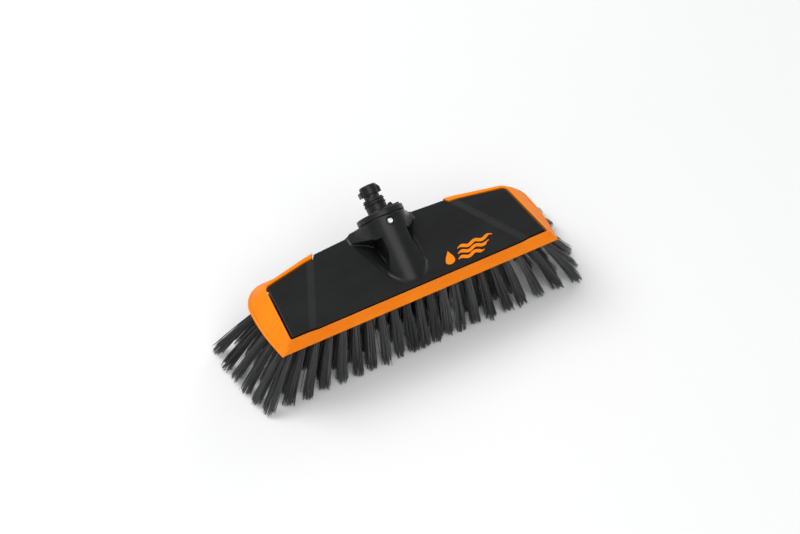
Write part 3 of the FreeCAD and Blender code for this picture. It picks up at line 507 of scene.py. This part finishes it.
def guide_line(corners, counts, tip):
    """Points along half of an open outline, tip to front middle, with set counts for each run."""
    path = [np.array(tip, float)]
    stops = [path[0]] + [np.array(c[:2], float) for c in corners] + [np.array([0.0, corners[-1][1]])]
    for index, (line_count, arc_count) in enumerate(counts):
        before, here, after = stops[index:index + 3]
        centre, start, spoke, sweep = corner_arc(before, here, after, corners[index][2])
        last = path[-1]
        path += [last + (start - last) * k / line_count for k in range(1, line_count + 1)]
        path += [on_arc(centre, spoke, sweep * k / arc_count) for k in range(1, arc_count + 1)]
    last = path[-1]
    path += [last + (stops[-1] - last) * k / FRONT_COUNT for k in range(1, FRONT_COUNT + 1)]
    return np.array(path)


def build_bumper():
    """The edging, lofted in rows from the panel's edge over its crest and down its outer face."""
    counts = [(26, 22), (44, 8)]
    inner = guide_line([(119.7, 59.6, 6.4), (126.6, -2.3, 1.2)], counts, (67.75, 70.2))
    crest = guide_line([(121.6, 61.8, 9.0), (127.2, -2.7, 1.4)], counts, (65.3, 74.9))
    foot = guide_line([(137.6, 76.4, 24.0), (136.5, -5.8, 1.6)], counts, (64.4, 76.7))
    arc_end = counts[0][0] + counts[0][1]
    front_start = arc_end + counts[1][0]
    along = (np.arange(len(foot)) - arc_end + 8) / (front_start - arc_end + 8)
    foot[:, 0] += SIDE_BOW * np.sin(np.pi * np.clip(along, 0, 1))
    inner, crest, foot = (np.concatenate([line, line[-2::-1] * (-1, 1)]) for line in (inner, crest, foot))
    count = len(inner)
    place = np.minimum(np.arange(count), count - 1 - np.arange(count))
    at_front = step(place.astype(float), front_start - 14, front_start + 5)
    at_side = step(place.astype(float), 14, arc_end) * (1 - at_front)
    at_back = 1 - at_front - at_side
    on_front = step(place.astype(float), front_start, front_start + 8)
    fold = 0.55 * at_front + 0.86 * at_side + 0.66 * at_back
    fold = fold - 0.13 * on_front
    fold_out = fold - 0.02 - 0.38 * on_front - 0.04 * at_side - 0.12 * at_back
    lift = wing_height(inner[:, 0], np.maximum(inner[:, 1], 0)) * 0.75

    drop = DROP_SIDE - DROP_FRONT_LESS * on_front
    rows = []

    def row(plan, level):
        """One line of points round the bumper."""
        rows.append(np.column_stack([plan[:, 0], plan[:, 1] + FRONT, level + LEVEL]))

    def slope(q):
        """A point on the outer face, q of the way down it."""
        below = np.clip((q - fold) / (1 - fold), 0, 1)
        below = below + on_front * below * (1 - below)
        share = np.where(q < fold, fold_out * q / fold, fold_out + (1 - fold_out) * below)
        plan = crest + (foot - crest) * share[:, None]
        start = -0.35 + lift
        row(plan, start + (-drop + 0.4 - start) * q)

    ones = np.ones(count)
    toward = (crest - inner) / np.maximum(np.linalg.norm(crest - inner, axis=1), 1e-6)[:, None]
    row(inner + (foot - inner) * 0.02, ones * -5.0)
    row(inner, ones * -1.0 + lift)
    row(inner + toward * 0.05, ones * -0.45 + lift)
    row(inner + toward * 0.25, ones * -0.16 + lift)
    row(inner + (crest - inner) * 0.5, ones * -0.04 + lift)
    row(inner + (crest - inner) * 0.90, ones * -0.08 + lift)
    for q in (0.0, 0.03, 0.08, 0.5):
        slope(q * fold if q > 0.1 else q * ones)
    for offset in (-0.035, -0.01, 0.015, 0.04):
        slope(fold + offset)
    for q in (0.2, 0.35, 0.5, 0.65, 0.8, 0.9, 0.97):
        slope(fold + (1 - fold) * q)
    slope(ones * 1.0)
    under = foot + (inner - foot) * 0.02
    row(under, -drop)
    row(foot + (inner - foot) * 0.12, -drop)
    row(foot + (inner - foot) * 0.66, 0.3 - drop)
    row(inner + (foot - inner) * 0.24, ones * -13.0)
    grid = np.array(rows)
    depth, width = grid.shape[:2]
    points = grid.reshape(-1, 3)
    numbers = np.arange(depth * width).reshape(depth, width)
    quads = []
    for k in range(depth):
        a, b = numbers[k], numbers[(k + 1) % depth]
        quads.append(np.stack([a[:-1], a[1:], b[1:], b[:-1]], 1))
    faces = [list(face) for face in np.concatenate(quads)]
    faces.append(list(numbers[:, 0]))
    faces.append(list(numbers[::-1, -1]))
    # wear by row: the crest beside the panel, the outer face's crease, and the lower edge
    weights = np.zeros(depth)
    weights[3:8] = 0.6
    weights[10:14] = 0.5
    weights[19:23] = 1.0
    wear = np.repeat(weights, width)
    obj = make_piece("bumper_edging", points, faces, RUBBER, ["bumper"],
                     attributes={"wear": wear})
    sides = obj.data.polygons
    for cap in (sides[len(sides) - 1], sides[len(sides) - 2]):
        cap.use_smooth = False


# ---------------------------------------------------------------- coupling
# the coupling's half section as (radius, place along the neck), from its spigot to its tip
NOZZLE_PROFILE = np.array([
    (4.5, -12.0), (12.7, -12.0), (13.7, -11.0), (13.7, -10.6), (12.0, -10.6), (12.0, -8.4),
    (13.7, -8.4), (13.7, 0.2), (21.3, 0.2), (21.7, 0.6), (21.7, 4.9), (21.1, 5.5), (10.6, 5.9),
    (9.7, 6.4), (9.3, 7.2), (9.3, 13.0), (9.95, 13.4), (9.95, 14.1), (9.0, 14.3), (7.3, 14.35),
    (7.3, 16.45), (8.9, 16.5), (9.8, 16.7), (9.8, 17.3), (9.2, 17.6), (9.0, 19.0), (7.0, 19.2),
    (6.8, 19.8), (6.9, 22.4), (7.6, 22.9), (7.7, 23.2), (7.9, 27.7), (7.9, 30.2), (7.2, 31.2),
    (6.9, 31.4), (5.2, 31.4), (4.5, 30.7)])
NOZZLE_TABLE_STEP, NOZZLE_TABLE_START = 0.1, -16


def profile_table():
    """The half section's distance field on a fine grid, so that each point is a look-up."""
    r = np.arange(0, 24, NOZZLE_TABLE_STEP)
    t = np.arange(NOZZLE_TABLE_START, 34, NOZZLE_TABLE_STEP)
    return outline_distance(NOZZLE_PROFILE, r[:, None], t[None, :])


PROFILE_TABLE = profile_table()


def turned(radius, t):
    """Distance to the coupling's turned body, read from its table."""
    a = np.clip(radius / NOZZLE_TABLE_STEP, 0, PROFILE_TABLE.shape[0] - 1.001)
    b = np.clip((t - NOZZLE_TABLE_START) / NOZZLE_TABLE_STEP, 0, PROFILE_TABLE.shape[1] - 1.001)
    a, b = np.broadcast_arrays(a, b)
    i, j = a.astype(int), b.astype(int)
    u, v = a - i, b - j
    near = PROFILE_TABLE[i, j] * (1 - v) + PROFILE_TABLE[i, j + 1] * v
    far = PROFILE_TABLE[i + 1, j] * (1 - v) + PROFILE_TABLE[i + 1, j + 1] * v
    return near * (1 - u) + far * u


def nozzle_field(x, h, t):
    """Distance to the coupling: its turned body, the stop, the foot with its nub, and the two lugs."""
    radius = np.hypot(x, h)
    body = turned(radius, t)
    angle = np.arctan2(h, x)
    sector = np.maximum(np.abs(angle) - 0.50, 0) * radius
    stop = round_max(np.maximum(np.maximum(8.0 - radius, radius - 19.6), sector - 0.3),
                     np.maximum(t - 7.6, 3.0 - t), 0.5)
    body = smooth_min(body, stop, 0.8)
    foot = round_max(np.maximum(np.abs(x - 11.6) - 2.8, np.abs(h) - 2.2),
                     np.maximum(t - 9.3, 3.0 - t), 0.4)
    nub = round_max(np.maximum(np.abs(x - 12.5) - 1.5, np.abs(h) - 1.5),
                    np.maximum(t - 10.6, 3.0 - t), 0.4)
    body = smooth_min(smooth_min(body, foot, 0.6), nub, 0.5)
    lug_rise = np.maximum(22.6 - t, t - 27.6 - 3.6 * step(x, 0.0, 1.0))
    lug = np.maximum(np.abs(h) - 3.4, np.maximum(x - 9.4, -9.9 - x))
    lug = round_max(np.maximum(lug, 6.0 - np.abs(x)), lug_rise, 0.5)
    body = smooth_min(body, lug, 0.5)
    chamfer = 0.826 * x + 0.564 * t - 23.1
    body = smooth_max(body, chamfer, 0.5)
    tapped = np.maximum(np.hypot(x, t - SCREW_AT) - 1.45, 8.0 - h)
    return smooth_max(body, -tapped, 0.2)


def build_nozzle():
    across = spaced((-23.0, -11.0, 0.5), (-11.0, 11.0, 0.3), (11.0, 23.0, 0.5))
    along = spaced((-13.0, 0.0, 0.6), (0.0, 32.6, 0.27))
    points, quads = net(nozzle_field, across, across, along)
    wear = edge_wear(nozzle_field, points, 0.6)
    placed = from_neck(*points.T)
    # the neck's frame is left-handed when it is read as (across, above, along)
    return make_piece("coupling_moulding", placed, quads[:, ::-1], NOZZLE,
                      ["coupling_nipple"], attributes={"wear": wear})


# ---------------------------------------------------------------- bristles
def solid_centres(node):
    """(root, tip) centres of each closed surface in a CAD node of tufts, in millimetres.

    The cavity round a tuft's anchor is a surface of its own. It has no rim and no tip, so its centres are
    not numbers, and the filaments made from them have no width.
    """
    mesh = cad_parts[node].data
    co = np.zeros(len(mesh.vertices) * 3)
    mesh.vertices.foreach_get("co", co)
    co = co.reshape(-1, 3) / MM
    _, merged = np.unique(np.round(co, 3), axis=0, return_inverse=True)
    merged = merged.ravel()
    edges = np.zeros(len(mesh.edges) * 2, np.int64)
    mesh.edges.foreach_get("vertices", edges)
    a, b = merged[edges.reshape(-1, 2)].T
    label = np.arange(merged.max() + 1)
    while True:
        low = np.minimum(label[a], label[b])
        before = label.copy()
        np.minimum.at(label, a, low)
        np.minimum.at(label, b, low)
        label = label[label]
        if (label == before).all():
            break
    owner = label[merged]
    found = []
    for name in np.unique(owner):
        own = co[owner == name]
        rim = own[np.abs(own[:, 2] - BLOCK_UNDER) < 0.05]
        end = own[own[:, 2] < 0.05]
        found.append((rim.mean(0), end.mean(0)))
    return sorted(found, key=lambda pair: pair[0][0])


FILAMENTS = 104
RINGS = 7                   # points along each filament
CLUMPS = 9                  # filaments of a tuft draw together towards these places at the ground
ROOT_SPREAD, TIP_SPREAD, CLUMP_SPREAD = 2.6, 5.4, 4.9
FILAMENT_RADIUS = 0.29
ROOT_INSIDE = 1.5           # how far a filament starts inside the block


def build_row(name, rng):
    """A row's tufts as filaments of square section, each with its own tone, bow and length."""
    points, faces, tones, alongs = [], [], [], []
    offset = 0
    golden = math.pi * (3 - math.sqrt(5))
    for root, tip in solid_centres(f"tufts_{name}"):
        tuft_tone = rng.normal(0.0, 0.10)
        lean = rng.normal(0.0, 0.9, 2)
        swell = rng.uniform(0.85, 1.12)
        clumps = rng.uniform(0, 2 * math.pi) + np.arange(CLUMPS) * 2.4
        rise = np.sqrt(np.arange(1, CLUMPS + 1) / CLUMPS)[:, None]
        clumps = np.stack([np.cos(clumps), np.sin(clumps)], 1) * rise
        clumps = clumps * CLUMP_SPREAD * swell + rng.normal(0, 0.4, (CLUMPS, 2))
        clump_tone = rng.normal(0.0, 0.16, CLUMPS)
        clump_cut = np.minimum(rng.exponential(1.5, CLUMPS), 4.5)
        reach = math.hypot(*(tip - root)[:2])
        heading = (tip - root)[:2] / max(reach, 1e-6)
        ground = rng.uniform(0.0, 0.8)
        for number in range(FILAMENTS):
            turn = number * golden + rng.normal(0, 0.15)
            out = math.sqrt((number + 0.5) / FILAMENTS)
            ring = np.array([math.cos(turn), math.sin(turn)])
            start = root[:2] + ring * out * ROOT_SPREAD
            foot = ring * out * TIP_SPREAD * swell
            owner = np.argmin(((clumps - foot) ** 2).sum(1))
            foot = foot + (clumps[owner] - foot) * rng.uniform(0.25, 0.75)
            stray = rng.normal(0, 0.45, 2) * (3.0 if rng.random() < 0.10 else 1.0)
            end = tip[:2] + foot + stray + lean
            height = ground + clump_cut[owner] + rng.exponential(1.5) + 0.8 * out
            height = min(height, 9.0) + (rng.uniform(0.5, 5.0) if rng.random() < 0.10 else 0.0)
            share = np.linspace(0, 1, RINGS)
            path = start + (end - start) * share[:, None]
            bow = heading * reach * 0.055 + rng.normal(0, 0.28, 2)
            path = path + bow * np.sin(math.pi * share[:, None]) * (1 - 0.3 * share[:, None])
            wave = rng.normal(0, 0.13, 2)
            path = path + wave * np.sin(share[:, None] * rng.uniform(7, 15) + rng.uniform(0, 6))
            level = BLOCK_UNDER + ROOT_INSIDE + (height - BLOCK_UNDER - ROOT_INSIDE) * share
            thick = FILAMENT_RADIUS * (1 - 0.25 * share ** 3) * rng.uniform(0.9, 1.12)
            spin = rng.uniform(0, math.pi / 2)
            for k in range(4):
                angle = spin + k * math.pi / 2
                side = np.column_stack([path[:, 0] + thick * math.cos(angle),
                                        path[:, 1] + thick * math.sin(angle), level])
                points.append(side)
            base = offset
            for k in range(4):
                a, b = base + k * RINGS, base + ((k + 1) % 4) * RINGS
                for j in range(RINGS - 1):
                    faces.append((a + j, a + j + 1, b + j + 1, b + j))
            ends = [base + k * RINGS for k in range(4)]
            faces.append(tuple(ends))
            faces.append(tuple(e + RINGS - 1 for e in reversed(ends)))
            offset += 4 * RINGS
            tone = np.clip(0.42 + tuft_tone + clump_tone[owner] + rng.normal(0, 0.26), 0, 1)
            tones.append(np.full(4 * RINGS, tone))
            alongs.append(np.tile(share, 4))
    return make_piece(f"bristles_{name}", np.concatenate(points), faces, BRISTLE,
                      [f"tufts_{name}"],
                      attributes={"tone": np.concatenate(tones), "along": np.concatenate(alongs)})


ROW_NAMES = ("front_row", "second_row", "third_row", "fourth_row", "fifth_row", "rear_row")
BRISTLE_SEED = 4200


def build_bristles():
    for row, name in enumerate(ROW_NAMES):
        build_row(name, np.random.default_rng(BRISTLE_SEED + row))


# ---------------------------------------------------------------- emblem
def ribbon(line, widths):
    """The closed plan outline of a stroke along a line of points."""
    line = np.asarray(line, float)
    along = np.gradient(line, axis=0)
    side = np.stack([-along[:, 1], along[:, 0]], 1) / np.linalg.norm(along, axis=1)[:, None]
    half = np.asarray(widths, float)[:, None] / 2
    return np.concatenate([line + side * half, (line - side * half)[::-1]])


def raised(loops, name):
    """Low plates with softened rims from closed plan outlines, standing on the panel."""
    points, faces = [], []
    for loop in loops:
        count = len(loop)
        tangent = np.roll(loop, -1, 0) - np.roll(loop, 1, 0)
        inward = np.stack([-tangent[:, 1], tangent[:, 0]], 1)
        inward /= np.maximum(np.linalg.norm(inward, axis=1), 1e-6)[:, None]
        area = (loop[:, 0] * np.roll(loop[:, 1], -1) - loop[:, 1] * np.roll(loop[:, 0], -1)).sum()
        inward *= 1 if area > 0 else -1
        first = len(points)
        for inset, level in ((0.0, -0.10), (0.0, 0.16), (0.12, 0.28)):
            ring = loop + inward * inset
            points += [(x, y + FRONT, LEVEL + level) for x, y in ring]
        order = list(range(count) if area > 0 else range(count - 1, -1, -1))
        for level in range(2):
            for k in range(count):
                a, b = order[k], order[(k + 1) % count]
                low, high = first + level * count, first + (level + 1) * count
                faces.append((low + a, low + b, high + b, high + a))
        faces.append([first + 2 * count + k for k in order])
        faces.append([first + k for k in reversed(order)])
    return make_piece(name, points, faces, RUBBER, smooth=False,
                      attributes={"wear": np.full(len(points), 0.3)})


def build_emblem():
    """A plain water mark: one drop and three ripples, leaning to the right."""
    lean, lean_from = 0.28, 12.0
    turn = np.linspace(0, 2 * math.pi, 40, endpoint=False)
    fall = np.sin(turn / 2) ** 1.6
    drop = np.stack([4.4 * np.sin(turn) * fall * 1.15, -5.6 * np.cos(turn) - 0.3], 1)
    drop = drop[::-1] * (1, -1)
    loops = [drop * 1.30 + (36.5, 12.6)]
    share = np.linspace(0, 1, 44)
    # each ripple's height on the panel, its ends and its number of waves
    ripples = ((18.6, 46.0, 80.5, 2.5), (13.0, 45.0, 76.0, 2.2), (7.4, 44.0, 69.5, 1.9))
    for level, start, end, waves in ripples:
        x = start + (end - start) * share
        y = level + 1.25 * np.sin(share * waves * 2 * math.pi)
        width = 3.3 * np.clip(np.sin(np.clip(share * 1.03, 0.02, 1.0) * math.pi) * 2.6, 0.35, 1.0)
        loops.append(ribbon(np.stack([x, y], 1), width))
    leaning = [np.stack([loop[:, 0] + lean * (loop[:, 1] - lean_from), loop[:, 1]], 1) for loop in loops]
    return raised(leaning, "panel_emblem")


# ---------------------------------------------------------------- carried-over CAD nodes
def dress(node, material):
    """Gives a CAD node its material, and leaves its shape and place alone."""
    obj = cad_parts[node]
    obj.data.materials.clear()
    obj.data.materials.append(material)


def dress_cad():
    dress("brush_block", BLOCK)
    for node in ("block_gasket", "nipple_o_ring", "socket_o_ring"):
        dress(node, SEAL)
    for node in ("retaining_screw", "block_screws"):
        dress(node, STEEL)
    for name in ROW_NAMES:
        dress(f"anchors_{name}", WIRE)


# ---------------------------------------------------------------- stage
def studio_floor():
    """A plain pale floor."""
    s = Shader("studio_floor_mat")
    cloud = s.noise(1.5, 2.0)
    colour = s.blend(s.spread(cloud, 0.3, 0.7), grey(0.83), grey(0.85))
    normal = s.bump(s.noise(400.0, 2.0), 0.01, 0.0001)
    rough = s.spread(cloud, 0.3, 0.7, 0.85, 0.9)
    material = s.finish(colour, rough, normal, Specular_IOR_Level=0.1)
    mesh = bpy.data.meshes.new("studio_floor")
    reach = 6.0
    corners = [(-reach, -reach, 0), (reach, -reach, 0), (reach, reach, 0), (-reach, reach, 0)]
    mesh.from_pydata(corners, [], [(0, 1, 2, 3)])
    mesh.materials.append(material)
    floor = bpy.data.objects.new("studio_floor", mesh)
    scene.collection.objects.link(floor)


def area_light(name, azimuth, elevation, distance, width, strength, target=(0, 0, 0.05)):
    """A soft box seen from the object at an azimuth (clockwise from the front) and an elevation."""
    a, e = math.radians(azimuth), math.radians(elevation)
    back = Vector((math.sin(a) * math.cos(e), -math.cos(a) * math.cos(e), math.sin(e)))
    data = bpy.data.lights.new(name, "AREA")
    data.shape = "SQUARE"
    data.size = width
    data.energy = strength
    light = bpy.data.objects.new(name, data)
    light.location = Vector(target) + back * distance
    light.rotation_mode = "QUATERNION"
    light.rotation_quaternion = (-back).to_track_quat("-Z", "Y")
    scene.collection.objects.link(light)


def build_stage():
    """The floor, a weak even sky and four soft boxes."""
    studio_floor()
    world = bpy.data.worlds.new("studio")
    world.use_nodes = True
    tree = world.node_tree
    background = tree.nodes["Background"]
    background.inputs["Color"].default_value = (0.97, 0.985, 1.0, 1.0)
    background.inputs["Strength"].default_value = 0.40
    scene.world = world
    area_light("key", -137, 53, 2.4, 1.4, 34)
    area_light("rim", 118, 26, 2.6, 1.4, 13)
    area_light("left_fill", -75, 42, 2.6, 2.0, 2)
    area_light("front_fill", -12, 54, 2.6, 2.0, 30)
    scene.view_settings.view_transform = "Standard"


def build_camera():
    """A long lens in front of the object, round to its -X side, that looks down at the panel."""
    azimuth, elevation = math.radians(28.9), math.radians(50.2)
    lens, sensor, view_width = 150.0, 36.0, 690.3
    right = Vector((math.cos(azimuth), -math.sin(azimuth), 0))
    back = Vector((-math.sin(azimuth) * math.cos(elevation),
                   -math.cos(azimuth) * math.cos(elevation), math.sin(elevation)))
    up = back.cross(right)
    aim = Vector((0, FRONT, LEVEL)) - right * 17.13 + up * 14.15
    data = bpy.data.cameras.new("camera")
    data.lens = lens
    data.sensor_width = sensor
    distance = view_width / sensor * lens
    data.clip_start, data.clip_end = 0.1, 50.0
    camera = bpy.data.objects.new("camera", data)
    camera.location = (aim + back * distance) * MM
    camera.rotation_mode = "QUATERNION"
    camera.rotation_quaternion = (-back).to_track_quat("-Z", "Y")
    scene.collection.objects.link(camera)
    scene.camera = camera


build_camera()
build_stage()
dress_cad()
build_shell()
build_bumper()
build_nozzle()
build_bristles()
build_emblem()
